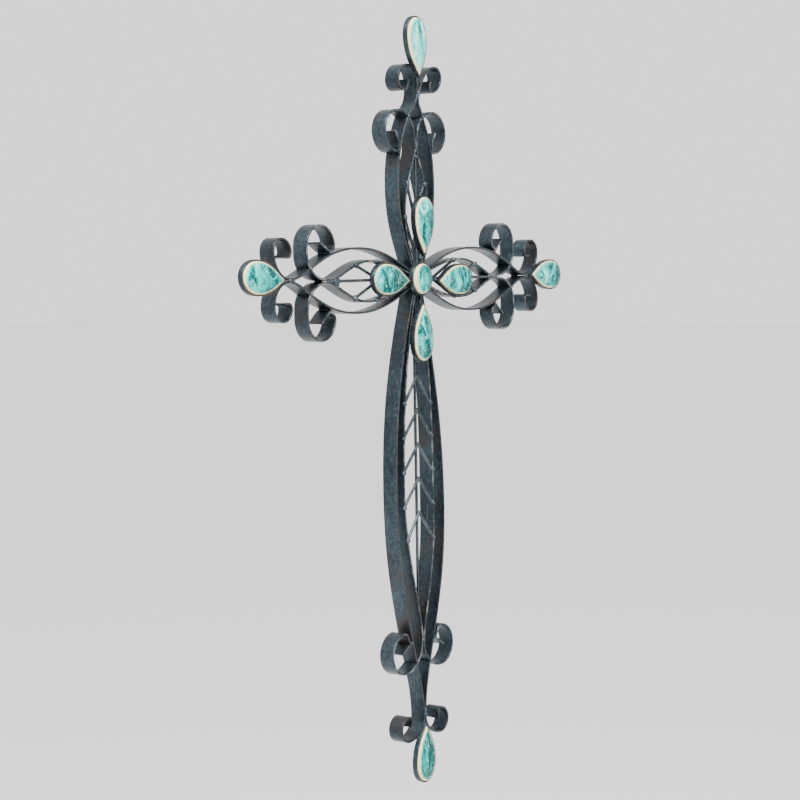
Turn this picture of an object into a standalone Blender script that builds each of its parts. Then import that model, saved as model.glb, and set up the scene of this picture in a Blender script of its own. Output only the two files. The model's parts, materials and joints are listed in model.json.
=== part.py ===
"""A wrought iron wall cross: scrolled flat bar on edge, rod spines and veins, nine stones in cup settings.

Metres, +Z up, front towards -Y. The wall is the plane Y = 0. The origin is where a nail carries the cross, in the
fork under the top arm's tip. Each arm is drawn in a frame of its own: X runs out from the cross's centre, Z across
the arm, and Y = 0 is the front edge of the bars.
"""

import math

import bmesh
import bpy

# Stock and the gap left between neighbouring pieces
BAR_DEPTH = 0.0127
BAR_THICK = 0.0016
ROD_RADIUS = 0.001
GAP = 0.0003

# Bending jigs that every arm shares
SCROLL_RADIUS = 0.0153
CURL_RADIUS = 0.0093
CURL_END_SINK = 0.0028  # how far short of a full round the small curl closes
HOOK_END_RISE = 0.003  # the hook's cut end, beyond the large scroll's centre
FULLNESS = 0.38  # reach of a bend's handles as a share of the straight way between its knots
WAIST_FULLNESS = 0.12  # the same where an inner bar comes in to its waist, a tight bend after a straight run

# Rods behind the bars' front edges, and the nail
VEIN_END_DEPTH = 0.0012  # front edge to the axis of a vein at its ends
NAIL_RADIUS = 0.0015

# Stones and their settings
CENTRE_STONE_RADIUS = 0.0113
STONE_LENGTH = 0.0424
STONE_WIDTH = 0.0224
STONE_WIDEST = 0.0283  # from the tip
STONE_TIP_ANGLE = 33
STONE_DOME = 0.0026
CUP_HEIGHT = 0.0043
CUP_WALL = 0.0009
CUP_FLOOR = 0.0008

# Arms. Places run out from the cross's centre and halves across from the arm's axis. A pair of values
# is for the bars on the arm's -Z and +Z side, which the hand-bent original doesn't make quite alike.
# The tip runs from the crossing to the outer waist. A lean is its sideways drift per unit of length.
# A spine's depth is from the bars' front edge to its axis.
RIGHT_ARM = {
    "turn": 0,
    "side_name": ("lower", "upper"),
    "hub_inner_heading": 20,
    "hub_outer_heading": 25,
    "inner_belly": 0.0572,
    "inner_half": 0.0146,
    "inner_waist": 0.1005,
    "outer_belly": 0.072,
    "outer_half": (0.0252, 0.0232),
    "crossing": 0.1268,
    "crossing_half": 0.009,
    "crossing_outer_heading": -27,
    "crossing_inner_heading": 50,
    "tip_run": 0.0229,
    "scroll_back": 0.0116,
    "scroll_half": 0.0266,
    "hook_back": 0.0098,
    "curl_ahead": 0.0073,
    "curl_half": 0.0194,
    "lean": 0.0,
    "first_vein": 0.0467,
    "vein_pitch": 0.0325,
    "vein_count": 2,
    "vein_run": 0.0245,
    "spine_depth": 0.0014,
    "veins_behind": True,
    "inner_stone": {"tip": 0.0101, "drift": -0.002, "turn": 1.1},
    "outer_stone": {"tip": 0.0026, "drift": 0.0009, "turn": -0.9},
}
LEFT_ARM = {
    **RIGHT_ARM,
    "turn": 180,
    "side_name": ("upper", "lower"),
    "inner_belly": (0.0582, 0.0613),
    "inner_half": (0.0142, 0.0155),
    "inner_waist": (0.1015, 0.1055),
    "outer_half": 0.0234,
    "scroll_half": (0.0244, 0.0266),
    "lean": -0.055,
    "first_vein": 0.0505,
    "vein_pitch": 0.029,
    "vein_run": 0.035,
    "inner_stone": {"tip": 0.0045, "drift": 0.0012, "turn": -3.1},
    "outer_stone": {"tip": 0.011, "drift": -0.0016, "turn": -4.9},
}
TOP_ARM = {
    **RIGHT_ARM,
    "turn": -90,
    "side_name": ("right", "left"),
    "inner_belly": 0.0512,
    "inner_half": 0.0148,
    "inner_waist": 0.0968,
    "outer_belly": 0.07,
    "outer_half": (0.0218, 0.0229),
    "crossing": 0.1214,
    "crossing_outer_heading": -28,
    "tip_run": 0.0151,
    "scroll_back": 0.0113,
    "scroll_half": 0.0223,
    "curl_ahead": 0.0138,
    "curl_half": 0.0173,
    "lean": -0.22,
    "first_vein": 0.0454,
    "vein_pitch": 0.028,
    "inner_stone": {"tip": 0.0064, "drift": -0.0031, "turn": -1.1},
    "outer_stone": {"tip": 0.0157, "drift": 0.0002, "turn": 5.8},
}
BOTTOM_ARM = {
    "turn": 90,
    "side_name": ("left", "right"),
    "hub_inner_heading": (15, 11),
    "hub_outer_heading": (18, 12.5),
    "inner_belly": (0.162, 0.192),
    "inner_half": (0.0212, 0.0155),
    "inner_waist": (0.2715, 0.275),
    "outer_belly": (0.158, 0.18),
    "outer_half": (0.0309, 0.0292),
    "crossing": 0.2935,
    "crossing_half": 0.0084,
    "crossing_outer_heading": -16,
    "crossing_inner_heading": 50,
    "tip_run": 0.0423,
    "scroll_back": 0.0099,
    "scroll_half": 0.0229,
    "hook_back": 0.0066,
    "curl_ahead": 0.0067,
    "curl_half": 0.0204,
    "lean": 0.02,
    "first_vein": 0.0935,
    "vein_pitch": 0.0262,
    "vein_count": 5,
    "vein_run": 0.0205,
    "spine_depth": 0.0049,
    "veins_behind": False,
    "inner_stone": {"tip": 0.007, "drift": 0.0002, "turn": 0.3},
    "outer_stone": {"tip": 0.0063, "drift": -0.004, "turn": -1.6},
}
ARMS = {"right": RIGHT_ARM, "left": LEFT_ARM, "top": TOP_ARM, "bottom": BOTTOM_ARM}

# Colours: sRGB-linear base colour, roughness, metallic
IRON = ("blackened_iron", (0.045, 0.06, 0.07), 0.5, 0.75)
STONE = ("turquoise_stone", (0.09, 0.52, 0.48), 0.12, 0.0)

PAIR_HALF = (BAR_THICK + GAP) / 2  # a bar's axis where a pair runs side by side
CUP_REACH = GAP + CUP_WALL  # outside of the cup beyond the stone
CENTRE_CUP_RADIUS = CENTRE_STONE_RADIUS + CUP_REACH


def along(heading):
    """Unit vector of a heading in degrees."""
    return math.cos(math.radians(heading)), math.sin(math.radians(heading))


def bend(knots, steps, fullness=FULLNESS, arrival=None):
    """Smooth bar axis through knots (x, z, heading), with the given steps between each two.

    The handle that comes in to the last knot can have a fullness of its own, its arrival.
    """
    points = [knots[0][:2]]
    arrivals = [fullness] * (len(knots) - 2) + [fullness if arrival is None else arrival]
    for (x0, z0, h0), (x1, z1, h1), count, closing in zip(knots, knots[1:], steps, arrivals):
        straight = math.hypot(x1 - x0, z1 - z0)
        opening, closing = fullness * straight, closing * straight
        (ax, az), (bx, bz) = along(h0), along(h1)
        xs = (x0, x0 + ax * opening, x1 - bx * closing, x1)
        zs = (z0, z0 + az * opening, z1 - bz * closing, z1)
        for i in range(1, count + 1):
            t = i / count
            weights = ((1 - t) ** 3, 3 * t * (1 - t) ** 2, 3 * t * t * (1 - t), t**3)
            points.append(
                (sum(w * x for w, x in zip(weights, xs)), sum(w * z for w, z in zip(weights, zs)))
            )
    return points


def arc(x, z, radius, start, end, steps):
    """Points on a circle between two angles, without the first."""
    angles = (start + (end - start) * i / steps for i in range(1, steps + 1))
    return [(x + radius * c, z + radius * s) for c, s in map(along, angles)]


def height_at(path, x):
    """Z of a path that runs outwards, where it passes x."""
    for (x0, z0), (x1, z1) in zip(path, path[1:]):
        if x0 <= x <= x1:
            return z0 + (z1 - z0) * (x - x0) / (x1 - x0)
    return path[-1][1]


def passes(path, z):
    """X where a path last comes down to z."""
    for (x0, z0), (x1, z1) in reversed(list(zip(path, path[1:]))):
        if z0 >= z > z1:
            return x0 + (x1 - x0) * (z0 - z) / (z0 - z1)
    return path[0][0]


def for_side(arm, side):
    """The arm's sizes with every pair settled for its -Z (-1) or +Z (+1) side."""
    return {key: size[side > 0] if isinstance(size, tuple) else size for key, size in arm.items()}


def hub_starts(arm):
    """Where an inner and an outer bar's axis start, clear of the spine, each other and the next arm."""
    inner_heading, outer_heading = arm["hub_inner_heading"], arm["hub_outer_heading"]
    inner_z = ROD_RADIUS + GAP + BAR_THICK / 2 / along(inner_heading)[0]
    inner_x = inner_z + 1.5 * BAR_THICK + GAP
    outer_x = inner_x + BAR_THICK
    climb = (outer_x - inner_x) * math.tan(math.radians(inner_heading))
    outer_z = inner_z + climb + (BAR_THICK + GAP) / along(outer_heading)[0]
    return (inner_x, inner_z, inner_heading), (outer_x, outer_z, outer_heading)


def outer_path(arm):
    """Axis of an outer bar, from the hub over its belly to just short of the bar that it crosses."""
    _, start = hub_starts(arm)
    outer, inner = arm["crossing_outer_heading"], arm["crossing_inner_heading"]
    back = (BAR_THICK / 2 + GAP) / math.sin(math.radians(inner - outer))
    end = (
        arm["crossing"] - back * along(outer)[0],
        arm["crossing_half"] - back * along(outer)[1],
        outer,
    )
    return bend([start, (arm["outer_belly"], arm["outer_half"], 0), end], (9, 9))


def inner_lens(arm):
    """Axis of an inner bar from the hub over its belly to the inner waist."""
    start, _ = hub_starts(arm)
    belly = (arm["inner_belly"], arm["inner_half"], 0)
    return bend([start, belly, (arm["inner_waist"], PAIR_HALF, 0)], (7, 7), arrival=WAIST_FULLNESS)


def inner_path(arm):
    """Axis of an inner bar: lens, waist, crossing, large scroll and the hook folded inside it."""
    cx = arm["crossing"] - arm["scroll_back"]
    cz = arm["scroll_half"]
    waist = (arm["inner_waist"], PAIR_HALF, 0)
    crossing = (arm["crossing"], arm["crossing_half"], arm["crossing_inner_heading"])
    straight = math.hypot(crossing[0] - waist[0], crossing[1] - waist[1])
    own_side = (crossing[1] - waist[1]) / along(crossing[2])[1] / straight
    rise = bend([waist, crossing], (4,), min(FULLNESS, own_side))[1:]
    turn = bend([crossing, (cx + SCROLL_RADIUS, cz, 90)], (4,))[1:]
    hook_x = cx - arm["hook_back"]
    hook_z = height_at(outer_path(arm), hook_x) + 1.7 * BAR_THICK + GAP
    inward = bend([(cx - SCROLL_RADIUS, cz, 270), (hook_x, hook_z, 318)], (3,))[1:]
    round_top = arc(cx, cz, SCROLL_RADIUS, 0, 180, 9)
    return inner_lens(arm) + rise + turn + round_top + inward + [(cx, cz + HOOK_END_RISE)]


def outer_waist(arm):
    """X where the tip bars close on each other."""
    return arm["crossing"] + arm["tip_run"]


def tip_path(arm):
    """Axis of a tip bar: from the crossing through the outer waist and round the small curl."""
    outer, inner = arm["crossing_outer_heading"], arm["crossing_inner_heading"]
    ahead = (BAR_THICK / 2 + GAP) / math.sin(math.radians(inner - outer))
    cx = outer_waist(arm) + arm["curl_ahead"]
    cz = arm["curl_half"]
    start = (
        arm["crossing"] + ahead * along(outer)[0],
        arm["crossing_half"] + ahead * along(outer)[1],
        outer,
    )
    stem = bend([start, (outer_waist(arm), PAIR_HALF, 0), (cx + CURL_RADIUS, cz, 90)], (4, 5))
    end = (cx - CURL_END_SINK / 2, cz - CURL_END_SINK, 15)
    close = bend([(cx - CURL_RADIUS, cz, 270), end], (3,), 0.5)[1:]
    return stem + arc(cx, cz, CURL_RADIUS, 0, 180, 8) + close


def leaned(arm, path):
    """The path with the tip's sideways lean, which starts at the crossing."""
    return [(x, z + arm["lean"] * max(0.0, x - arm["crossing"])) for x, z in path]


def mirrored(path, side):
    return [(x, side * z) for x, z in path]


def edge_offsets(path, start_cut=None, end_cut=None):
    """Half-thickness offsets at each point, mitred at bends and laid along a cut's heading at an end."""
    headings = [
        math.degrees(math.atan2(z1 - z0, x1 - x0)) for (x0, z0), (x1, z1) in zip(path, path[1:])
    ]
    offsets = []
    for i in range(len(path)):
        before, after = headings[max(i - 1, 0)], headings[min(i, len(headings) - 1)]
        turn = (after - before + 180) % 360 - 180
        across = before + turn / 2 + 90
        stretch = math.cos(math.radians(turn / 2))
        cut = {0: start_cut, len(path) - 1: end_cut}.get(i)
        if cut is not None:
            across = cut if math.sin(math.radians(cut - before)) > 0 else cut + 180
            stretch = abs(math.sin(math.radians(cut - before)))
        x, z = along(across)
        offsets.append((x * BAR_THICK / 2 / stretch, z * BAR_THICK / 2 / stretch))
    return offsets


def finish_mesh(name, made, material, parent):
    """Turns a bmesh into a smooth-shaded object with sharp edges kept, under its arm's empty."""
    bmesh.ops.recalc_face_normals(made, faces=made.faces)
    mesh = bpy.data.meshes.new(name)
    made.to_mesh(mesh)
    made.free()
    mesh.shade_smooth()
    mesh.set_sharp_from_angle(angle=math.radians(35))
    mesh.materials.append(material)
    obj = bpy.data.objects.new(name, mesh)
    obj.parent = parent
    bpy.context.scene.collection.objects.link(obj)
    return obj


def bridge(made, rings):
    """Skins between rings of equal length and caps the first and last."""
    for low, high in zip(rings, rings[1:]):
        for i in range(len(low)):
            j = (i + 1) % len(low)
            made.faces.new((low[i], low[j], high[j], high[i]))
    made.faces.new(reversed(rings[0]))
    made.faces.new(rings[-1])


def add_bar(name, path, parent, material, start_cut=None, end_cut=None):
    """Flat bar on edge along a path, its front edge at Y = 0."""
    made = bmesh.new()
    rings = []
    for (x, z), (dx, dz) in zip(path, edge_offsets(path, start_cut, end_cut)):
        corners = (
            (x + dx, 0, z + dz),
            (x - dx, 0, z - dz),
            (x - dx, BAR_DEPTH, z - dz),
            (x + dx, BAR_DEPTH, z + dz),
        )
        rings.append([made.verts.new(corner) for corner in corners])
    bridge(made, rings)
    finish_mesh(name, made, material, parent)


def add_rod(name, path, depths, parent, material, sides=8):
    """Round rod along a path of straight runs, its axis at a depth given for each point."""
    made = bmesh.new()
    rings = []
    for (x, z), (dx, dz), depth in zip(path, edge_offsets(path), depths):
        ring = []
        for k in range(sides):
            across, deep = along(360 * (k + 0.5) / sides)
            width = across * ROD_RADIUS / (BAR_THICK / 2)
            ring.append(made.verts.new((x + dx * width, depth + deep * ROD_RADIUS, z + dz * width)))
        rings.append(ring)
    bridge(made, rings)
    finish_mesh(name, made, material, parent)


def add_spine(arm_name, arm, parent, material):
    """Rod on the arm's axis, from the hub to where the inner bars close on it."""
    clear = ROD_RADIUS + 2 * GAP + BAR_THICK / 2
    lenses = [inner_lens(for_side(arm, side)) for side in (-1, 1)]
    start = max(lens[0][0] for lens in lenses) + ROD_RADIUS
    end = min(passes(lens, clear) for lens in lenses)
    depths = (arm["spine_depth"], arm["spine_depth"])
    add_rod(f"{arm_name}_spine", [(start, 0), (end, 0)], depths, parent, material)


def add_veins(arm_name, arm, parent, material):
    """Bent rods across the inner bars, behind or in front of the spine, their points towards the hub."""
    clear = BAR_THICK / 2 + GAP + ROD_RADIUS
    past_spine = 2 * ROD_RADIUS + GAP
    point_depth = arm["spine_depth"] + (past_spine if arm["veins_behind"] else -past_spine)
    depths = (VEIN_END_DEPTH, point_depth, VEIN_END_DEPTH)
    for i in range(arm["vein_count"]):
        x = arm["first_vein"] + i * arm["vein_pitch"]
        ends = []
        for side in (-1, 1):
            lens = inner_lens(for_side(arm, side))
            end_x = x - arm["vein_run"] * clear / height_at(lens, x)
            ends.append((end_x, side * (height_at(lens, end_x) - clear)))
        legs = [ends[0], (x - arm["vein_run"], 0), ends[1]]
        add_rod(f"{arm_name}_vein_{i + 1}", legs, depths, parent, material)


def drop_outline(count=12):
    """Upper half of a teardrop stone's edge from tip to round end, both ends included."""
    half = STONE_WIDTH / 2
    side = bend([(0, 0, STONE_TIP_ANGLE), (STONE_WIDEST, half, 0)], (count // 2,), 0.42)
    round_end = STONE_LENGTH - STONE_WIDEST
    angles = (90 - 90 * i / (count // 2) for i in range(1, count // 2 + 1))
    return side + [(STONE_WIDEST + round_end * c, half * s) for c, s in map(along, angles)]


def stone_outline(is_drop):
    """Closed edge of a stone, a list of (x, z), going round once."""
    if not is_drop:
        return arc(0, 0, CENTRE_STONE_RADIUS, 0, 360, 24)
    upper = drop_outline()
    return upper + [(x, -z) for x, z in reversed(upper[1:-1])]


def grown(outline, distance):
    """The outline moved outwards by a distance, with its corners mitred."""
    clockwise = sum(
        x0 * z1 - x1 * z0 for (x0, z0), (x1, z1) in zip(outline, outline[1:] + outline[:1])
    )
    way = -90 if clockwise > 0 else 90
    result = []
    for (xa, za), (x, z), (xb, zb) in zip(outline[-1:] + outline, outline, outline[1:] + outline[:1]):
        before = math.degrees(math.atan2(z - za, x - xa))
        turn = (math.degrees(math.atan2(zb - z, xb - x)) - before + 180) % 360 - 180
        dx, dz = along(before + turn / 2 + way)
        stretch = math.cos(math.radians(turn / 2))
        result.append((x + dx * distance / stretch, z + dz * distance / stretch))
    return result


def add_setting(name, is_drop, place, parent, material):
    """Cup with a floor and an upright wall round the stone, in front of the bars."""
    made = bmesh.new()
    outline = stone_outline(is_drop)
    outside, inside = grown(outline, CUP_REACH), grown(outline, GAP)
    levels = (
        (outside, -GAP),
        (outside, -CUP_HEIGHT),
        (inside, -CUP_HEIGHT),
        (inside, -GAP - CUP_FLOOR),
    )
    bridge(made, [[made.verts.new((x, y, z)) for x, z in edge] for edge, y in levels])
    put(finish_mesh(name, made, material, parent), place)


def add_stone(name, is_drop, place, parent, material):
    """Cabochon: upright girdle down in the cup and a dome over its rim."""
    made = bmesh.new()
    outline = stone_outline(is_drop)
    middle = (STONE_WIDEST if is_drop else 0.0, 0.0)
    bottom = -2 * GAP - CUP_FLOOR
    profile = [(1, bottom), (1, -CUP_HEIGHT)]
    profile += [(along(a)[0], -CUP_HEIGHT - STONE_DOME * along(a)[1]) for a in (28, 52, 74)]
    rings = []
    for share, y in profile:
        ring = [(middle[0] + (x - middle[0]) * share, z * share) for x, z in outline]
        rings.append([made.verts.new((x, y, z)) for x, z in ring])
    bridge(made, rings)
    put(finish_mesh(name, made, material, parent), place)


def put(obj, place):
    """Places a stone or its setting by its tip, with its drift and turn."""
    x, z, turn = place
    obj.location = (x, 0, z)
    obj.rotation_euler = (0, -math.radians(turn), 0)


def stone_places(arm):
    """Tips of the arm's inner and outer stone."""
    inner, outer = arm["inner_stone"], arm["outer_stone"]
    yield "inner", (CENTRE_CUP_RADIUS + inner["tip"], inner["drift"], inner["turn"])
    yield "outer", (outer_waist(arm) + outer["tip"], outer["drift"], outer["turn"])


def add_arm(arm_name, arm, centre, iron, stone):
    frame = bpy.data.objects.new(f"{arm_name}_arm", None)
    frame.parent = centre
    frame.rotation_euler = (0, math.radians(arm["turn"]), 0)
    bpy.context.scene.collection.objects.link(frame)
    for side in (-1, 1):
        sizes = for_side(arm, side)
        cut = side * sizes["crossing_inner_heading"]
        label = f"{arm_name}_{sizes['side_name']}"
        add_bar(f"{label}_outer_bar", mirrored(outer_path(sizes), side), frame, iron, end_cut=cut)
        add_bar(f"{label}_scroll_bar", mirrored(inner_path(sizes), side), frame, iron)
        tip = leaned(arm, mirrored(tip_path(sizes), side))
        add_bar(f"{label}_tip_bar", tip, frame, iron, start_cut=cut)
    add_spine(arm_name, arm, frame, iron)
    add_veins(arm_name, arm, frame, iron)
    for where, place in stone_places(arm):
        add_setting(f"{arm_name}_{where}_setting", True, place, frame, iron)
        add_stone(f"{arm_name}_{where}_stone", True, place, frame, stone)


def nail_seat():
    """X and Z, from the cross's centre, of a nail in the fork under the top arm's outer waist."""
    up = passes(tip_path(for_side(TOP_ARM, 1)), NAIL_RADIUS + BAR_THICK / 2)
    ((_, sideways),) = leaned(TOP_ARM, [(up, 0)])
    return -sideways, up


def new_material(name, colour, roughness, metallic):
    material = bpy.data.materials.new(name)
    material.use_nodes = True
    shader = material.node_tree.nodes["Principled BSDF"]
    shader.inputs["Base Color"].default_value = (*colour, 1)
    shader.inputs["Roughness"].default_value = roughness
    shader.inputs["Metallic"].default_value = metallic
    return material


def main():
    for obj in list(bpy.data.objects):
        bpy.data.objects.remove(obj)
    iron, stone = new_material(*IRON), new_material(*STONE)
    centre = bpy.data.objects.new("cross_centre", None)
    nail_x, nail_z = nail_seat()
    centre.location = (-nail_x, -BAR_DEPTH, -nail_z)
    bpy.context.scene.collection.objects.link(centre)
    for arm_name, arm in ARMS.items():
        add_arm(arm_name, arm, centre, iron, stone)
    add_setting("centre_setting", False, (0, 0, 0), centre, iron)
    add_stone("centre_stone", False, (0, 0, 0), centre, stone)


main()
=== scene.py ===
# Looks of a wrought iron wall cross set with turquoise stones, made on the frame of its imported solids

import json
import math

import bmesh
import bpy
from mathutils import Matrix, Vector

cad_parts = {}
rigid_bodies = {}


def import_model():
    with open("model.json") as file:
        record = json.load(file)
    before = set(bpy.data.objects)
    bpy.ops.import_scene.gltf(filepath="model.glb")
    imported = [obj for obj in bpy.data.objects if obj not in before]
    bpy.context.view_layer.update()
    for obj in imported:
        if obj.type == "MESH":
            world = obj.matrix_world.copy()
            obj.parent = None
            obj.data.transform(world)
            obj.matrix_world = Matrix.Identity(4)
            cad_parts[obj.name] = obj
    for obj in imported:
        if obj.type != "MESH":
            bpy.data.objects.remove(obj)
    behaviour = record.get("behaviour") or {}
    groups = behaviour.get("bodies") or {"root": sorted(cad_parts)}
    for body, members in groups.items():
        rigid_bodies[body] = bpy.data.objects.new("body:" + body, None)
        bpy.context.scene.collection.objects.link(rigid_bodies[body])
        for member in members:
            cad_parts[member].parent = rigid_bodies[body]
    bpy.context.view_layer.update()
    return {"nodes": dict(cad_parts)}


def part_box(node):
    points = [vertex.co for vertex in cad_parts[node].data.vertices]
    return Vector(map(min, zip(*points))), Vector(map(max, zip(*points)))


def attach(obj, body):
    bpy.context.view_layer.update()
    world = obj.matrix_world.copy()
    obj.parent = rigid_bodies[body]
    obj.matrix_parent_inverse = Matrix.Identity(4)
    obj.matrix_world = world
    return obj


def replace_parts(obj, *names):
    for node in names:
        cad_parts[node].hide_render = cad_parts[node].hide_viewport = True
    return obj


for leftover in list(bpy.data.objects):
    bpy.data.objects.remove(leftover)
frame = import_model()
nodes = frame["nodes"]
scene = bpy.context.scene
creaseAngle = math.radians(50)  # a made piece is shaded sharp where it bends by more than this
snap = 2e-6  # a solid's corners closer than this are one corner
print("frame loaded:", len(nodes), "nodes")


# New node with its settings, and with each named or numbered input linked or set
def addNode(tree, kind, inputs=None, **settings):
    node = tree.nodes.new(kind)
    for key, value in settings.items():
        setattr(node, key, value)
    for key, value in (inputs or {}).items():
        if isinstance(value, bpy.types.NodeSocket):
            tree.links.new(value, node.inputs[key])
        else:
            node.inputs[key].default_value = value
    return node


# Colour ramp over a factor, with the look's stops of (place, name of its colour)
def addRamp(tree, factor, look):
    ramp = addNode(tree, "ShaderNodeValToRGB", {"Fac": factor})
    elements = ramp.color_ramp.elements
    while len(elements) < len(look["ramp"]):
        elements.new(0.5)
    for element, (place, colour) in zip(elements, look["ramp"]):
        element.position = place
        element.color = (*look[colour], 1)
    return ramp.outputs["Color"]


def addMath(tree, operation, a, b):
    return addNode(tree, "ShaderNodeMath", {0: a, 1: b}, operation=operation).outputs[0]


# 0 below the first end of a range, 1 above the second and smooth between them
def addFade(tree, value, ends):
    inputs = {"Value": value, "From Min": ends[0], "From Max": ends[1]}
    return addNode(tree, "ShaderNodeMapRange", inputs, interpolation_type="SMOOTHSTEP").outputs[0]


# Colour a where the share is 0 and b where it is 1
def addBlend(tree, share, a, b):
    mix = addNode(tree, "ShaderNodeMix", data_type="RGBA")
    for place, value in ((0, share), (6, a), (7, b)):
        if isinstance(value, bpy.types.NodeSocket):
            tree.links.new(value, mix.inputs[place])
        else:
            mix.inputs[place].default_value = value if place == 0 else (*value, 1)
    return mix.outputs[2]


def addNoise(tree, place, scale, detail=3.0, roughness=0.5, distortion=0.0):
    sizes = {
        "Vector": place,
        "Scale": scale,
        "Detail": detail,
        "Roughness": roughness,
        "Distortion": distortion,
    }
    return addNode(tree, "ShaderNodeTexNoise", sizes).outputs[0]


# Bump over a height, linked to the shader
def addBump(tree, shader, look, height):
    bump = addNode(tree, "ShaderNodeBump", {**look["bump"], "Height": height})
    tree.links.new(bump.outputs[0], shader.inputs["Normal"])


# Material with a Principled shader, its tree and its Object coordinates
def newMaterial(name):
    material = bpy.data.materials.new(name)
    material.use_nodes = True
    tree = material.node_tree
    shader = next(node for node in tree.nodes if node.type == "BSDF_PRINCIPLED")
    return material, tree, shader, addNode(tree, "ShaderNodeTexCoord").outputs["Object"]


iron = {
    "slate": (0.026, 0.038, 0.046),
    "lifted": (0.058, 0.08, 0.092),
    "dark": (0.008, 0.0108, 0.014),
    "brown": (0.042, 0.034, 0.033),
    "wornAndHighlight": (0.085, 0.06, 0.05),
    "bare": (0.12, 0.14, 0.15),
    "ramp": ((0.35, "dark"), (0.5, "slate"), (0.64, "lifted")),
    "mottle": (340, 6, 0.75, 0.3),  # noises: scale, detail, roughness, distortion
    "broad": (26, 3, 0.5),
    "grain": (820, 3, 0.6),
    "strokes": (640, 3, 0.6),
    "stains": (21, 5, 0.7, 0.8),
    "patches": (95, 4, 0.7),
    "dents": (110, 2, 0.5),
    "toneShares": {"mottle": 0.45, "broad": 0.35, "grain": 0.2},
    "brushing": {"Rotation": (0.5, 0.7, 0.2), "Scale": (1.0, 1.0, 0.07)},
    "strokeRange": (0.6, 0.72),
    "stainRange": (0.49, 0.68),
    "patchRange": (0.45, 0.7),
    "stained": 0.75,
    "scratched": 0.45,
    "frontEdge": -0.0127,
    "highlightRimDepths": (0.0005, 0.00005),  # behind the front edge, where the worn corner with its painted highlight starts and is full
    "metallic": 0.8,
    "specular": 0.25,
    "roughness": (0.28, 0.45),
    "roughnessRange": (0.35, 0.65),
    "dentHeight": 1.5,
    "bump": {"Strength": 0.4, "Distance": 0.0004},
}


# Blackened iron: mottled slate, brown stains, and worn corners along the bars' front edges, painted
# paler there as a highlight too
def makeIron(look):
    material, tree, shader, place = newMaterial("blackened_iron_look")
    mottle = addNoise(tree, place, *look["mottle"])
    shares = look["toneShares"]
    tone = addMath(tree, "MULTIPLY", mottle, shares["mottle"])
    for kind in ("broad", "grain"):
        layer = addMath(tree, "MULTIPLY", addNoise(tree, place, *look[kind]), shares[kind])
        tone = addMath(tree, "ADD", tone, layer)
    colour = addRamp(tree, tone, look)
    brushed = addNode(tree, "ShaderNodeMapping", {"Vector": place, **look["brushing"]}).outputs[0]
    strokes = addFade(tree, addNoise(tree, brushed, *look["strokes"]), look["strokeRange"])
    colour = addBlend(tree, addMath(tree, "MULTIPLY", strokes, look["scratched"]), colour, look["bare"])
    stains = addFade(tree, addNoise(tree, place, *look["stains"]), look["stainRange"])
    colour = addBlend(tree, addMath(tree, "MULTIPLY", stains, look["stained"]), colour, look["brown"])
    depth = addNode(tree, "ShaderNodeSeparateXYZ", {0: place}).outputs["Y"]
    # painted highlight, partly wear: a paler worn colour in patches along the bars' front edges
    rim = addFade(tree, depth, [look["frontEdge"] + behind for behind in look["highlightRimDepths"]])
    patches = addFade(tree, addNoise(tree, place, *look["patches"]), look["patchRange"])
    colour = addBlend(tree, addMath(tree, "MULTIPLY", rim, patches), colour, look["wornAndHighlight"])
    tree.links.new(colour, shader.inputs["Base Color"])
    start, full = look["roughnessRange"]
    low, high = look["roughness"]
    spread = {"Value": mottle, "From Min": start, "From Max": full, "To Min": low, "To Max": high}
    tree.links.new(addNode(tree, "ShaderNodeMapRange", spread).outputs[0], shader.inputs["Roughness"])
    shader.inputs["Metallic"].default_value = look["metallic"]
    shader.inputs["Specular IOR Level"].default_value = look["specular"]
    dents = addMath(tree, "MULTIPLY", addNoise(tree, place, *look["dents"]), look["dentHeight"])
    addBump(tree, shader, look, addMath(tree, "ADD", dents, mottle))
    return material


turquoise = {
    "teal": (0.0, 0.055, 0.052),
    "turquoise": (0.0, 0.2, 0.187),
    "mint": (0.0, 0.45, 0.4),
    "ice": (0.34, 0.74, 0.62),
    "halo": (0.22, 0.5, 0.36),
    "cream": (0.62, 0.55, 0.31),
    "speck": (0.004, 0.022, 0.02),
    "ramp": ((0.43, "teal"), (0.49, "turquoise"), (0.56, "mint"), (0.66, "ice")),
    "drawn": {"Rotation": (0.0, 0.6, 0.0), "Scale": (1.0, 1.0, 0.45)},
    "plumes": (85, 7, 0.72, 1.6),  # noises: scale, detail, roughness, distortion
    "feathers": (150, 6, 0.75, 2.6),
    "cracks": (110, 5, 0.7, 2.8),
    "patches": (130, 3),
    "flecks": (520, 3, 0.6, 0.8),
    "specks": (620, 2, 0.5),
    "edgeWaves": (190, 3),
    "dents": (170, 3),
    "featherRange": (0.57, 0.64),
    "crackRange": (0.013, 0.002),
    "patchRange": (0.45, 0.6),
    "fleckRange": (0.63, 0.69),
    "speckRange": (0.66, 0.72),
    "haloRange": (0.9, 1.02),
    "creamRange": (0.99, 1.06),
    "feathered": 0.8,
    "haloed": 0.6,
    "waved": 0.16,
    "roughness": 0.12,
    "specular": 0.1,
    "cloudHeight": 0.6,
    "bump": {"Strength": 0.3, "Distance": 0.0005},
}
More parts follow.
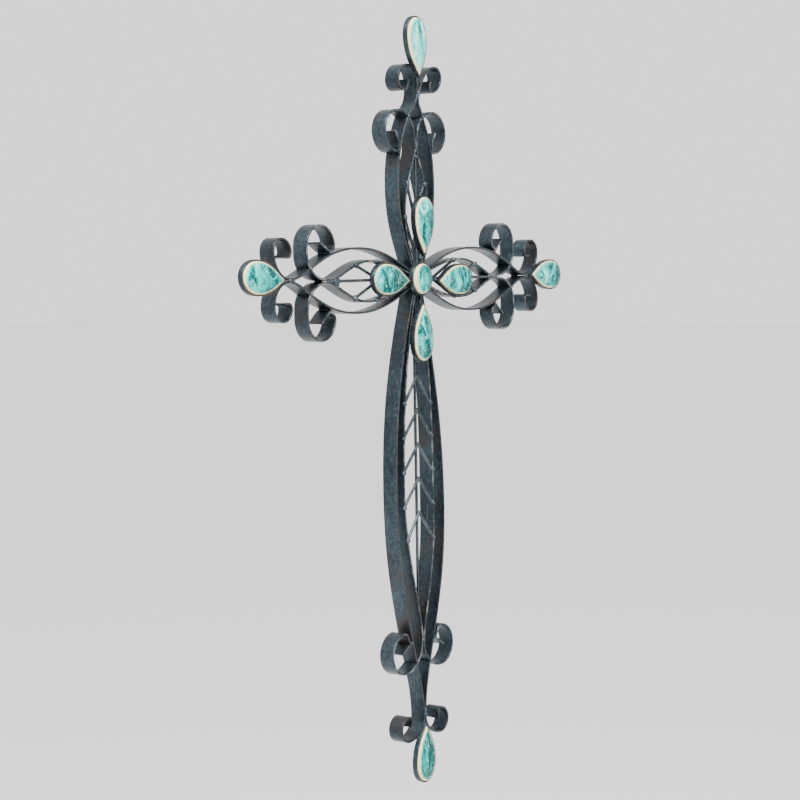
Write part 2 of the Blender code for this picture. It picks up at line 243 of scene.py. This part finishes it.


# Polished turquoise with pale plumes, teal feathers, pale cracks, dark specks and a cream edge, with
# painted light that makes the left flank paler
def makeStone(look):
    material, tree, shader, place = newMaterial("turquoise_stone_look")
    drawn = addNode(tree, "ShaderNodeMapping", {"Vector": place, **look["drawn"]}).outputs[0]
    # this attribute holds the stone's own paleness plus painted light that pales its left flank
    palenessAndLitSide = addNode(tree, "ShaderNodeAttribute", attribute_name="palenessAndLitSide").outputs["Fac"]
    clouds = addMath(tree, "ADD", addNoise(tree, drawn, *look["plumes"]), palenessAndLitSide)
    colour = addRamp(tree, clouds, look)
    feathers = addFade(tree, addNoise(tree, drawn, *look["feathers"]), look["featherRange"])
    colour = addBlend(tree, addMath(tree, "MULTIPLY", feathers, look["feathered"]), colour, look["teal"])
    cracks = addMath(tree, "SUBTRACT", addNoise(tree, drawn, *look["cracks"]), 0.5)
    thin = addFade(tree, addMath(tree, "ABSOLUTE", cracks, 0.0), look["crackRange"])
    patches = addFade(tree, addNoise(tree, place, *look["patches"]), look["patchRange"])
    colour = addBlend(tree, addMath(tree, "MULTIPLY", thin, patches), colour, look["ice"])
    flecks = addFade(tree, addNoise(tree, drawn, *look["flecks"]), look["fleckRange"])
    colour = addBlend(tree, flecks, colour, look["ice"])
    specks = addFade(tree, addNoise(tree, place, *look["specks"]), look["speckRange"])
    colour = addBlend(tree, specks, colour, look["speck"])
    edge = addNode(tree, "ShaderNodeAttribute", attribute_name="edgeShare").outputs["Fac"]
    waves = addMath(tree, "MULTIPLY", addNoise(tree, place, *look["edgeWaves"]), look["waved"])
    ragged = addMath(tree, "ADD", edge, waves)
    halo = addMath(tree, "MULTIPLY", addFade(tree, ragged, look["haloRange"]), look["haloed"])
    colour = addBlend(tree, halo, colour, look["halo"])
    colour = addBlend(tree, addFade(tree, ragged, look["creamRange"]), colour, look["cream"])
    tree.links.new(colour, shader.inputs["Base Color"])
    shader.inputs["Roughness"].default_value = look["roughness"]
    shader.inputs["Specular IOR Level"].default_value = look["specular"]
    dents = addNoise(tree, place, *look["dents"])
    lift = addMath(tree, "MULTIPLY", clouds, look["cloudHeight"])
    addBump(tree, shader, look, addMath(tree, "ADD", dents, lift))
    return material


# scroll bars: a brighter grey along their front edges, partly wear and partly painted highlight
rubbedHighlightTones = {"wornAndHighlight": (0.2, 0.2, 0.2)}
# cups: a gold-brown line along their front rim, partly wear and partly painted highlight
cupTones = {"stained": 0.3, "wornAndHighlight": (0.12, 0.085, 0.055), "frontEdge": -0.017}
# rods: a lighter, more speckled iron, partly their own tone and partly a painted sheen
rodSheenTones = {"slate": (0.034, 0.045, 0.052), "lifted": (0.11, 0.125, 0.135), "stained": 0.3}
weldTones = {
    "slate": (0.035, 0.05, 0.06),
    "lifted": (0.08, 0.1, 0.115),
    "wornAndHighlight": (0.07, 0.085, 0.095),
    "stained": 0.2,
}
ironLook = makeIron(iron)
rubbedHighlightLook = makeIron({**iron, **rubbedHighlightTones})
cupLook = makeIron({**iron, **cupTones})
rodSheenLook = makeIron({**iron, **rodSheenTones})
weldLook = makeIron({**iron, **weldTones})
stoneLook = makeStone(turquoise)
print("materials made")


# Copy of a node's solid with its doubles merged
def mergedSolid(nodeName):
    solid = bmesh.new()
    solid.from_mesh(nodes[nodeName].data)
    bmesh.ops.remove_doubles(solid, verts=solid.verts, dist=snap)
    return solid


# Corners, in order, of the node's flat front or back face as (x, z), with the plane's Y
def planeLoop(nodeName, front):
    solid = mergedSolid(nodeName)
    pick = min if front else max
    level = pick(vert.co.y for vert in solid.verts)
    flat = [face for face in solid.faces if all(abs(vert.co.y - level) < snap for vert in face.verts)]
    inPlane = set(flat)
    around = {}
    for face in flat:  # in the mesh's own order, so that the loop starts at the same corner each time
        for edge in face.edges:
            if sum(other in inPlane for other in edge.link_faces) == 1:
                a, b = edge.verts
                around.setdefault(a, []).append(b)
                around.setdefault(b, []).append(a)
    start = next(iter(around))
    loop, before, here = [start], None, start
    while True:
        ahead = next(vert for vert in around[here] if vert is not before)
        if ahead is start:
            break
        loop.append(ahead)
        before, here = here, ahead
    points = [Vector((vert.co.x, vert.co.z)) for vert in loop]
    solid.free()
    return points, level


# Points along the middle of a flat bar on edge, from its outline seen from the front
def barAxis(nodeName):
    loop, _ = planeLoop(nodeName, front=True)
    half = len(loop) // 2
    best = None
    for start in range(half):
        pairs = [(loop[(start + i) % len(loop)], loop[start - 1 - i]) for i in range(half)]
        widest = max((a - b).length for a, b in pairs)
        if best is None or widest < best[0]:
            best = (widest, [(a + b) / 2 for a, b in pairs])
    return best[1]


# Middles of a rod's end and corner rings, in order of one coordinate, and the depth of each
def rodAxis(nodeName, along, count, sides=8):
    solid = mergedSolid(nodeName)
    corners = sorted((vert.co.copy() for vert in solid.verts), key=lambda co: co[along])
    solid.free()
    rings = [corners[i * sides : (i + 1) * sides] for i in range(count)]
    middles = [sum(ring, Vector()) / sides for ring in rings]
    return [Vector((m.x, m.z)) for m in middles], [m.y for m in middles]


# Close points on a smooth curve through the given ones, with a small round at each sharp corner
def smoothed(points, spacing, closed=False, sharp=55, fold=0.0006):
    count = len(points)
    legs = count if closed else count - 1
    ways = [(points[(i + 1) % count] - points[i]).normalized() for i in range(legs)]
    turns = []
    for i in range(count):
        inside = closed or 0 < i < count - 1
        turns.append(math.degrees(ways[i - 1].angle(ways[i % legs])) if inside else 0.0)
    result = []
    for i in range(legs):
        a, b = points[i], points[(i + 1) % count]
        j = (i + 1) % count
        length = (b - a).length
        atA, atB = turns[i] > sharp, turns[j] > sharp
        wayA = ways[i] if atA or (i == 0 and not closed) else (ways[i - 1] + ways[i]).normalized()
        lastLeg = i == legs - 1 and not closed
        wayB = ways[i] if atB or lastLeg else (ways[i] + ways[j % legs]).normalized()
        steps = max(2, round(length / spacing))
        for k in range(steps):
            t = k / steps
            if (atA and t * length < fold) or (atB and (1 - t) * length < fold):
                continue
            h = (2 * t**3 - 3 * t**2 + 1, t**3 - 2 * t**2 + t, 3 * t**2 - 2 * t**3, t**3 - t**2)
            result.append(a * h[0] + wayA * (length * h[1]) + b * h[2] + wayB * (length * h[3]))
        if atB:
            start, end = b - ways[i] * fold, b + ways[j % legs] * fold
            for t in (0.0, 0.25, 0.5, 0.75, 1.0):
                result.append(start * (1 - t) ** 2 + b * 2 * t * (1 - t) + end * t**2)
    if not closed:
        result.append(points[-1])
    return result


bar = {
    "depth": 0.0127,
    "thick": 0.0016,
    "round": 0.00032,
    "roundSteps": 3,
    "faceSteps": 5,
    "spacing": 0.0013,
    "uneven": 0.00022,
    "unevenScale": 90.0,
}
rod = {
    "radius": 0.00115,
    "sides": 14,
    "spacing": 0.002,
    "uneven": 0.00007,
    "unevenScale": 160.0,
    "step": 0.0002,  # a vein runs on from its cut end by some of these, to its bar
    "steps": 32,
}


# Empty geometry tree with its group input and output nodes
def newTree(name, inputs):
    tree = bpy.data.node_groups.new(name, "GeometryNodeTree")
    tree.interface.new_socket("Geometry", in_out="OUTPUT", socket_type="NodeSocketGeometry")
    tree.interface.new_socket("Geometry", in_out="INPUT", socket_type="NodeSocketGeometry")
    for label, kind in inputs.items():
        tree.interface.new_socket(label, in_out="INPUT", socket_type=f"NodeSocket{kind}")
    return tree, addNode(tree, "NodeGroupInput").outputs


# Ends a geometry tree: real, smooth-shaded geometry with its material
def closeTree(tree, geometry, material):
    real = addNode(tree, "GeometryNodeRealizeInstances", {"Geometry": geometry}).outputs[0]
    smooth = addNode(tree, "GeometryNodeSetShadeSmooth", {"Geometry": real}).outputs[0]
    done = addNode(tree, "GeometryNodeSetMaterial", {"Geometry": smooth, "Material": material})
    addNode(tree, "NodeGroupOutput", {"Geometry": done.outputs[0]})


def addVectorMath(tree, operation, inputs):
    return addNode(tree, "ShaderNodeVectorMath", inputs, operation=operation).outputs[0]


# Moves points by a smooth noise, times a vector that says along which axes
def addUnevenness(tree, geometry, amount, scale, flatten):
    place = addNode(tree, "GeometryNodeInputPosition").outputs[0]
    cloud = addNode(tree, "ShaderNodeTexNoise", {"Vector": place, "Scale": scale, "Detail": 2.0})
    centred = addVectorMath(tree, "SUBTRACT", {0: cloud.outputs["Color"], 1: (0.5, 0.5, 0.5)})
    flat = addVectorMath(tree, "MULTIPLY", {0: centred, 1: flatten})
    offset = addVectorMath(tree, "SCALE", {0: flat, "Scale": amount})
    return addNode(tree, "GeometryNodeSetPosition", {"Geometry": geometry, "Offset": offset}).outputs[0]


# Stock of a given profile along a line drawn in the XY plane, stood up to face -Y
def makeSweepTree():
    inputs = {"Profile": "Object", "Unevenness": "Float", "Unevenness Scale": "Float"}
    tree, given = newTree("Swept stock", {**inputs, "Material": "Material"})
    line = addNode(tree, "GeometryNodeMeshToCurve", {"Mesh": given["Geometry"]}).outputs[0]
    line = addNode(tree, "GeometryNodeSetCurveNormal", {"Curve": line}, mode="Z_UP").outputs[0]
    drawn = addNode(tree, "GeometryNodeObjectInfo", {"Object": given["Profile"]}).outputs["Geometry"]
    profile = addNode(tree, "GeometryNodeMeshToCurve", {"Mesh": drawn}).outputs[0]
    stock = {"Curve": line, "Profile Curve": profile, "Fill Caps": True}
    swept = addNode(tree, "GeometryNodeCurveToMesh", stock).outputs[0]
    swept = addUnevenness(tree, swept, given["Unevenness"], given["Unevenness Scale"], (1, 1, 0))
    raised = {"Geometry": swept, "Rotation": (math.radians(90), 0, 0)}
    closeTree(tree, addNode(tree, "GeometryNodeTransform", raised).outputs[0], given["Material"])
    return tree


# Mesh of edges through (x, y) points, each at its own height
def lineObject(name, points, heights, closed=False):
    mesh = bpy.data.meshes.new(name)
    count = len(points)
    edges = [(i, (i + 1) % count) for i in range(count if closed else count - 1)]
    mesh.from_pydata([(x, y, height) for (x, y), height in zip(points, heights)], edges, [])
    obj = bpy.data.objects.new(name, mesh)
    scene.collection.objects.link(obj)
    return obj


# Closed outline of a stock's section, drawn flat
def profileObject(name, points):
    return lineObject(name, points, [0.0] * len(points), closed=True)


# Runs a geometry tree on an object and keeps the result as its plain mesh
def applyTree(obj, tree, values):
    modifier = obj.modifiers.new("made", "NODES")
    modifier.node_group = tree
    for item in tree.interface.items_tree:
        if item.in_out == "INPUT" and item.name in values:
            modifier[item.identifier] = values[item.name]
    seen = obj.evaluated_get(bpy.context.evaluated_depsgraph_get())
    mesh = bpy.data.meshes.new_from_object(seen)
    obj.modifiers.remove(modifier)
    obj.data = mesh
    mesh.set_sharp_from_angle(angle=creaseAngle)
    return obj


# Rounded rectangle, deep along Y, with points down its faces
def barProfile(sizes):
    halfX, halfY = sizes["thick"] / 2, sizes["depth"] / 2
    radius = sizes["round"]
    corners = ((1, 1, 0), (-1, 1, 90), (-1, -1, 180), (1, -1, 270))  # side in X, side in Y, first angle
    points = []
    for sx, sy, start in corners:
        cx, cy = sx * (halfX - radius), sy * (halfY - radius)
        for step in range(sizes["roundSteps"] + 1):
            angle = math.radians(start + 90 * step / sizes["roundSteps"])
            points.append((cx + radius * math.cos(angle), cy + radius * math.sin(angle)))
        if sx != sy:
            count = sizes["faceSteps"]
            length = 2 * (halfY - radius)
            side = points[-1][0]
            points += [(side, cy - sy * length * (i + 1) / (count + 1)) for i in range(count)]
    return points


def circlePoints(radius, sides):
    turns = [2 * math.pi * i / sides for i in range(sides)]
    return [(radius * math.cos(t), radius * math.sin(t)) for t in turns]


# Where a vein's leg, run on past its cut end, comes closest to the bar that it is welded to
def metBar(apex, end, bars):
    way = (end - apex).normalized() * rod["step"]
    spots = [end + way * k for k in range(rod["steps"])]
    return min(spots, key=lambda spot: min((spot - point).length for point in bars))


# A rod's line drawn smooth through its corners, with its height at each point
def rodRun(corners, depths):
    drawn = smoothed(corners, rod["spacing"])
    if len(corners) == 2:
        return drawn, [-depths[0]] * len(drawn)
    first, apex, last = corners
    heights = []
    for point in drawn:
        onFirst = (point - first).length < (point - last).length
        end, depth = (first, depths[0]) if onFirst else (last, depths[2])
        share = min(1.0, (point - apex).length / (end - apex).length)
        heights.append((depths[1] - depth) * share - depths[1])
    return drawn, heights


sweepTree = makeSweepTree()
barOutline = profileObject("bar_profile", barProfile(bar))
rodOutline = profileObject("rod_profile", circlePoints(rod["radius"], rod["sides"]))
arms = {
    "right": {"sides": ("lower", "upper"), "along": 0, "veins": 2},
    "left": {"sides": ("upper", "lower"), "along": 0, "veins": 2},
    "top": {"sides": ("right", "left"), "along": 2, "veins": 2},
    "bottom": {"sides": ("left", "right"), "along": 2, "veins": 5},
}


# Sweeps a stock's profile along a line and puts it in its solid's place
def addStock(nodeName, line, heights, profile, sizes, look):
    sweep = {
        "Profile": profile,
        "Unevenness": sizes["uneven"],
        "Unevenness Scale": sizes["unevenScale"],
        "Material": look,
    }
    piece = applyTree(lineObject(f"{nodeName}_look", line, heights), sweepTree, sweep)
    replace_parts(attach(piece, "root"), nodeName)


hub = (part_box("centre_setting")[0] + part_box("centre_setting")[1]) / 2
barLines, rodLines = {}, {}
for armName, arm in arms.items():
    for sideName in arm["sides"]:
        for kind in ("outer_bar", "scroll_bar", "tip_bar"):
            nodeName = f"{armName}_{sideName}_{kind}"
            line = smoothed(barAxis(nodeName), bar["spacing"])
            reach = [(end - Vector((hub.x, hub.z))).length for end in (line[0], line[-1])]
            barLines[nodeName] = line if reach[0] < reach[1] else line[::-1]
    nodeName = f"{armName}_spine"
    rodLines[nodeName] = rodAxis(nodeName, arm["along"], 2)
    scrolls = [barLines[f"{armName}_{sideName}_scroll_bar"] for sideName in arm["sides"]]
    bars = [point for scroll in scrolls for point in scroll]
    for number in range(1, arm["veins"] + 1):
        nodeName = f"{armName}_vein_{number}"
        (endA, apex, endB), depths = rodAxis(nodeName, 2 - arm["along"], 3)
        rodLines[nodeName] = [metBar(apex, endA, bars), apex, metBar(apex, endB, bars)], depths
for nodeName, line in barLines.items():
    look = rubbedHighlightLook if "scroll" in nodeName else ironLook
    addStock(nodeName, line, [bar["depth"] / 2] * len(line), barOutline, bar, look)
for nodeName, (corners, depths) in rodLines.items():
    addStock(nodeName, *rodRun(corners, depths), rodOutline, rod, rodSheenLook)
bpy.data.objects.remove(barOutline)
bpy.data.objects.remove(rodOutline)
print("bars and rods made:", len(barLines) + len(rodLines))


setting = {
    "wall": 0.0009,
    "floor": 0.0008,
    "rim": 0.0003,
    "rimShoulder": 0.3,  # place of the middle corner of the rim's outer round, as a share of the rim
    "spacing": 0.0009,
}
dome = {
    "rings": 9,
    "turn": 86,
    "fullness": 1.04,
    "backClearance": 0.001,  # the girdle's corners are at least this far in front of the stone's back
}
stoneTones = {  # paleness, how much paler the left flank is painted as lit from the left (painted light), how far the cream edge comes in there
    "centre_stone": (0.0, 0.09, 0.2),
    "left_outer_stone": (0.0, 0.04, 0.04),
    "left_inner_stone": (-0.03, 0.08, -0.04),
    "right_inner_stone": (-0.01, 0.1, -0.04),
    "right_outer_stone": (-0.045, 0.08, -0.02),
    "top_outer_stone": (0.07, 0.04, 0.08),
    "top_inner_stone": (0.0, 0.05, 0.03),
    "bottom_inner_stone": (-0.035, 0.05, 0.02),
    "bottom_outer_stone": (-0.03, 0.06, 0.1),
}


# A closed loop moved inwards, with its corners mitred, but the sharpest ones held back
def inset(loop, distance, sharpest=0.45):
    area = sum(a.x * b.y - a.y * b.x for a, b in zip(loop, loop[1:] + loop[:1]))
    side = 1 if area > 0 else -1
    result = []
    for before, here, after in zip(loop[-1:] + loop, loop, loop[1:] + loop[:1]):
        wayIn, wayOut = (here - before).normalized(), (after - here).normalized()
        along = (wayIn + wayOut).normalized()
        normal = Vector((-along.y, along.x)) * side
        result.append(here + normal * distance / max(sharpest, along.dot(wayIn)))
    return result


# Closed mesh through rings of (x, z) points at given Y levels, with rows of values for each share
def skin(name, rings, material, shares):
    made = bmesh.new()
    layers = [made.verts.layers.float.new(share) for share in shares]
    rows = []
    for i, (loop, level) in enumerate(rings):
        row = [made.verts.new((x, level, z)) for x, z in loop]
        for layer, values in zip(layers, shares.values()):
            for vert, value in zip(row, values[i]):
                vert[layer] = value
        rows.append(row)
    count = len(rows[0])
    for low, high in zip(rows, rows[1:]):
        for i in range(count):
            j = (i + 1) % count
            made.faces.new((low[i], low[j], high[j], high[i]))
    made.faces.new(reversed(rows[0]))
    made.faces.new(rows[-1])
    bmesh.ops.recalc_face_normals(made, faces=made.faces)
    mesh = bpy.data.meshes.new(name)
    made.to_mesh(mesh)
    made.free()
    mesh.shade_smooth()
    mesh.materials.append(material)
    obj = bpy.data.objects.new(name, mesh)
    scene.collection.objects.link(obj)
    return obj


# Cup with a soft rim round the stone
def addSetting(nodeName):
    outline, back = planeLoop(nodeName, front=False)
    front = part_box(nodeName)[0][1]
    loop = smoothed(outline, setting["spacing"], closed=True)
    wall, rim = setting["wall"], setting["rim"]
    shoulder = rim * setting["rimShoulder"]
    rings = [(loop, back), (loop, front + rim)]
    rings += [(inset(loop, shoulder), front + shoulder), (inset(loop, rim), front)]
    rings += [(inset(loop, wall - rim), front), (inset(loop, wall), front + rim)]
    rings.append((inset(loop, wall), back - setting["floor"]))
    piece = skin(f"{nodeName}_look", rings, cupLook, {})
    piece.data.set_sharp_from_angle(angle=creaseAngle)
    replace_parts(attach(piece, "root"), nodeName)


def roundLength(loop):
    return sum((a - b).length for a, b in zip(loop, loop[1:] + loop[:1]))


# Cabochon with a round shoulder over its girdle and a smooth dome
def addStone(nodeName):
    outline, back = planeLoop(nodeName, front=False)
    top, _ = planeLoop(nodeName, front=True)
    low, high = sum(outline, Vector((0, 0))) / len(outline), sum(top, Vector((0, 0))) / len(top)
    share = roundLength(top) / roundLength(outline)
    middle = (high - low * share) / (1 - share)
    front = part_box(nodeName)[0][1]
    levels = [vert.co.y for vert in nodes[nodeName].data.vertices]
    girdle = max(level for level in levels if level < back - dome["backClearance"])
    crown = girdle - front
    loop = smoothed(outline, setting["spacing"], closed=True)
    pale, litSideLean, cream = stoneTones[nodeName]
    reach = max(middle.x - point.x for point in loop)
    leftness = [(middle.x - point.x) / reach for point in loop]
    rings, edges, tones = [(loop, back)], [[1.0] * len(loop)], [[pale] * len(loop)]
    for i in range(dome["rings"] + 1):
        angle = math.radians(dome["turn"] * i / dome["rings"])
        shrunk = [middle + (point - middle) * math.cos(angle) for point in loop]
        rings.append((shrunk, girdle - crown * dome["fullness"] * math.sin(angle)))
        edges.append([math.cos(angle) + cream * max(0.0, left) for left in leftness])
        # painted light: paleness raised towards the left flank, most at the girdle
        tones.append([pale + litSideLean * left * math.cos(angle) for left in leftness])
    shares = {"edgeShare": edges, "palenessAndLitSide": tones}
    piece = skin(f"{nodeName}_look", rings, stoneLook, shares)
    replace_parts(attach(piece, "root"), nodeName)


for nodeName in nodes:
    if nodeName.endswith("_setting"):
        addSetting(nodeName)
    elif nodeName.endswith("_stone"):
        addStone(nodeName)
print("settings and stones made")

weld = {
    "front": -0.0127,
    "back": 0.0,
    "wallClearance": 1.25,  # in bead radii
    "waistPart": (0.25, 0.75),  # shares of a bar's length in which a place is looked for
    "tipPart": (0.05, 0.7),
    "foldPart": (0.8, 1.0),
    "seamSwells": (0.75, 1.05, 0.9, 1.1, 0.7),
    "waistSeams": {"front": (0.005, 0.0013), "back": (0.006, 0.0013)},  # length, radius
    "tipSeams": {"front": (0.0055, 0.0014), "back": (0.006, 0.0014)},
    "crossing": {"lift": 0.0002, "step": 0.0029, "radii": (0.0013, 0.001, 0.001, 0.001, 0.001)},
    "fold": {"lift": -0.0002, "step": 0.0016, "radii": (0.001,) * 8},
    "apex": 0.0014,
    "knob": {"right": 0.0019, "left": 0.0019, "top": 0.0019, "bottom": 0.0016},
    "knobRow": (  # way ahead, lift, swell
        (-0.0018, 0.0, 0.7),
        (-0.0005, 0.0004, 1.15),
        (0.0006, 0.0008, 0.85),
    ),
    "spineLift": 0.0006,
    "spineEnd": {"right": 0.0019, "left": 0.0023, "top": 0.0019, "bottom": 0.0019},
    "webDepth": 0.0014,
    "web": {  # in the fork at the left waist: way outwards, way down, radius
        "left": (
            (0.0058, 0.0006, 0.0019),
            (0.0042, 0.0006, 0.0024),
            (0.0026, 0.0007, 0.0027),
            (0.001, 0.0008, 0.0027),
            (-0.0004, -0.001, 0.0014),
            (-0.0004, 0.0026, 0.0015),
        )
    },
    "hubRing": {"count": 9, "reaches": (0.0052, 0.0032), "level": -0.0115, "radius": 0.0022},
    "cupTip": {"steps": (-1, 0, 1), "step": 0.0012, "level": -0.0138, "radius": 0.0011},
    "turned": (0, 6.28),  # each lump's own turns about its axes, in radians
    "squash": (0.8, 1.2),
    "lumpScale": 620.0,
    "lumpReach": 0.0014,
    "lump": 0.42,
    "seed": 7,
}
beads = []


# One lump of weld, kept off the wall's face
def addBead(x, y, z, radius):
    beads.append((Vector((x, min(y, weld["back"] - radius * weld["wallClearance"]), z)), radius))


# Point between two bars where they run closest, in a part of the first one, with its heading
def closest(lineA, lineB, part):
    low, high = part
    places = range(int(low * len(lineA)), int(high * len(lineA)))
    _, i, b = min(((lineA[i] - b).length, i, b) for i in places for b in lineB)
    way = (lineA[min(i + 2, len(lineA) - 1)] - lineA[max(i - 2, 0)]).normalized()
    return (lineA[i] + b) / 2, way


# A short row of uneven beads on the front edges and one on the back edges
def addSeams(middle, way, seams):
    swells = weld["seamSwells"]
    for side, (length, radius) in seams.items():
        for k, swell in enumerate(swells):
            spot = middle + way * length * (k / (len(swells) - 1) - 0.5)
            addBead(spot.x, weld[side], spot.y, radius * swell)


# A row of beads from the front edges back, down the corner between two bars
def addCornerRow(place, row):
    for k, radius in enumerate(row["radii"]):
        addBead(place.x, weld["front"] - row["lift"] + row["step"] * k, place.y, radius)


for armName, arm in arms.items():
    labels = [f"{armName}_{sideName}" for sideName in arm["sides"]]
    waist, way = closest(*(barLines[f"{label}_scroll_bar"] for label in labels), weld["waistPart"])
    addSeams(waist, way, weld["waistSeams"])
    tip, way = closest(*(barLines[f"{label}_tip_bar"] for label in labels), weld["tipPart"])
    addSeams(tip, way, weld["tipSeams"])
    for label in labels:
        outer = barLines[f"{label}_outer_bar"]
        addCornerRow((outer[-1] + barLines[f"{label}_tip_bar"][0]) / 2, weld["crossing"])
        belly = outer[len(outer) // 2 : -6]  # the outer half, short of the crossing
        fold, _ = closest(barLines[f"{label}_scroll_bar"], belly, weld["foldPart"])
        addCornerRow(fold, weld["fold"])
    spine, (spineDepth, _) = rodLines[f"{armName}_spine"]
    far = min(spine, key=lambda point: (point - waist).length)
    addBead(far.x, spineDepth - weld["spineLift"], far.y, weld["spineEnd"][armName])
    for outwards, down, radius in weld["web"].get(armName, ()):
        addBead(far.x - outwards, weld["front"] + weld["webDepth"], far.y - down, radius)
    for number in range(1, arm["veins"] + 1):
        (endA, apex, endB), (depthA, apexDepth, depthB) = rodLines[f"{armName}_vein_{number}"]
        addBead(apex.x, (apexDepth + spineDepth) / 2, apex.y, weld["apex"])
        for end, depth in ((endA, depthA), (endB, depthB)):
            way = (end - apex).normalized()
            for ahead, lift, swell in weld["knobRow"]:
                spot = end + way * ahead
                addBead(spot.x, depth - lift, spot.y, weld["knob"][armName] * swell)
ring = weld["hubRing"]
for k in range(ring["count"]):
    turn = math.radians(360 * k / ring["count"])
    reach = ring["reaches"][k % 2]
    for level in (ring["level"], weld["back"]):
        addBead(hub.x + reach * math.cos(turn), level, hub.z + reach * math.sin(turn), ring["radius"])
row = weld["cupTip"]
for armName in arms:
    low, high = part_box(f"{armName}_inner_setting")
    inner = (low + high) / 2 - hub
    reach = max(abs(inner.x), abs(inner.z)) - max(high.x - low.x, high.z - low.z) / 2
    out = inner.normalized()
    for k in row["steps"]:
        way = reach + row["step"] * k
        addBead(hub.x + out.x * way, row["level"], hub.z + out.z * way, row["radius"])


# A random vector for each bead, each part of it between two values
def addRandom(tree, low, high, seed):
    ends = {"Min": (low, low, low), "Max": (high, high, high), "Seed": seed}
    return addNode(tree, "FunctionNodeRandomValue", ends, data_type="FLOAT_VECTOR").outputs[0]


# A lumpy ball on each point, as big as its radius says
def makeBeadTree():
    inputs = {"Lump": "Float", "Lump Scale": "Float", "Seed": "Int", "Material": "Material"}
    tree, given = newTree("Weld beads", inputs)
    ball = addNode(tree, "GeometryNodeMeshIcoSphere", {"Radius": 1.0, "Subdivisions": 2}).outputs[0]
    named = addNode(tree, "GeometryNodeInputNamedAttribute", {"Name": "radius"}, data_type="FLOAT")
    turn = addRandom(tree, *weld["turned"], given["Seed"])
    squash = addRandom(tree, *weld["squash"], given["Seed"])
    scale = addVectorMath(tree, "SCALE", {0: squash, "Scale": named.outputs[0]})
    balls = {"Points": given["Geometry"], "Instance": ball, "Rotation": turn, "Scale": scale}
    placed = addNode(tree, "GeometryNodeInstanceOnPoints", balls).outputs[0]
    real = addNode(tree, "GeometryNodeRealizeInstances", {"Geometry": placed}).outputs[0]
    amount = addMath(tree, "MULTIPLY", given["Lump"], weld["lumpReach"])
    lumpy = addUnevenness(tree, real, amount, given["Lump Scale"], (1, 1, 1))
    closeTree(tree, lumpy, given["Material"])
    return tree


beadMesh = bpy.data.meshes.new("weld_beads")
beadMesh.from_pydata([place for place, _ in beads], [], [])
beadRadii = beadMesh.attributes.new("radius", "FLOAT", "POINT")
for item, (_, radius) in zip(beadRadii.data, beads):
    item.value = radius
weldBeads = bpy.data.objects.new("weld_beads", beadMesh)
scene.collection.objects.link(weldBeads)
beadValues = {
    "Lump": weld["lump"],
    "Lump Scale": weld["lumpScale"],
    "Seed": weld["seed"],
    "Material": weldLook,
}
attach(applyTree(weldBeads, makeBeadTree(), beadValues), "root")
print("weld beads made:", len(beads))

photoView = {
    "azimuth": -53.08,
    "elevation": 4.33,
    "roll": -0.92,
    "distance": 1.396,
    "lens": 83.94,
    "sensor": 36.0,
    "target": (-0.0277, -0.0127, -0.2216),
}
studio = {
    "floorLevel": -1.4,
    "floorReach": 30,
    "floorTone": (0.93, 0.93, 0.93, 1),
    "floorRoughness": 0.9,
    "skyTone": (1, 1, 1, 1),
    "skyStrength": 1.5,
    "aim": (0.0, 0.0, -0.2),
    "lights": {  # place, size, power
        "left_window": ((-1.1, -0.4, 1.4), 1.2, 150),
        "front_fill": ((-0.3, -1.8, 0.3), 1.2, 26),
    },
}


def addCamera(view):
    azimuth, elevation, roll = (math.radians(view[key]) for key in ("azimuth", "elevation", "roll"))
    level = math.cos(elevation)
    back = Vector((math.sin(azimuth) * level, -math.cos(azimuth) * level, math.sin(elevation)))
    right = Vector((0, 0, 1)).cross(back).normalized()
    up = back.cross(right)
    turnedRight = right * math.cos(roll) + up * math.sin(roll)
    turnedUp = up * math.cos(roll) - right * math.sin(roll)
    data = bpy.data.cameras.new("photo_camera")
    data.lens = view["lens"]
    data.sensor_width = view["sensor"]
    camera = bpy.data.objects.new("photo_camera", data)
    place = Matrix((turnedRight, turnedUp, back)).transposed().to_4x4()
    place.translation = Vector(view["target"]) + back * view["distance"]
    camera.matrix_world = place
    scene.collection.objects.link(camera)
    scene.camera = camera


def addLight(name, place, size, power):
    data = bpy.data.lights.new(name, "AREA")
    data.size = size
    data.energy = power
    light = bpy.data.objects.new(name, data)
    light.location = place
    towards = Vector(studio["aim"]) - Vector(place)
    light.rotation_euler = towards.to_track_quat("-Z", "Y").to_euler()
    scene.collection.objects.link(light)


def addFloor():
    made = bmesh.new()
    bmesh.ops.create_grid(made, x_segments=1, y_segments=1, size=studio["floorReach"])
    mesh = bpy.data.meshes.new("floor")
    made.to_mesh(mesh)
    made.free()
    material, _, shader, _ = newMaterial("pale_floor")
    shader.inputs["Base Color"].default_value = studio["floorTone"]
    shader.inputs["Roughness"].default_value = studio["floorRoughness"]
    mesh.materials.append(material)
    floor = bpy.data.objects.new("floor", mesh)
    floor.location = (0, 0, studio["floorLevel"])
    scene.collection.objects.link(floor)


def addSky():
    world = bpy.data.worlds.new("studio")
    world.use_nodes = True
    background = next(node for node in world.node_tree.nodes if node.type == "BACKGROUND")
    background.inputs["Color"].default_value = studio["skyTone"]
    background.inputs["Strength"].default_value = studio["skyStrength"]
    scene.world = world


addCamera(photoView)
addFloor()
addSky()
for name, (place, size, power) in studio["lights"].items():
    addLight(name, place, size, power)
print("camera, floor and light placed")
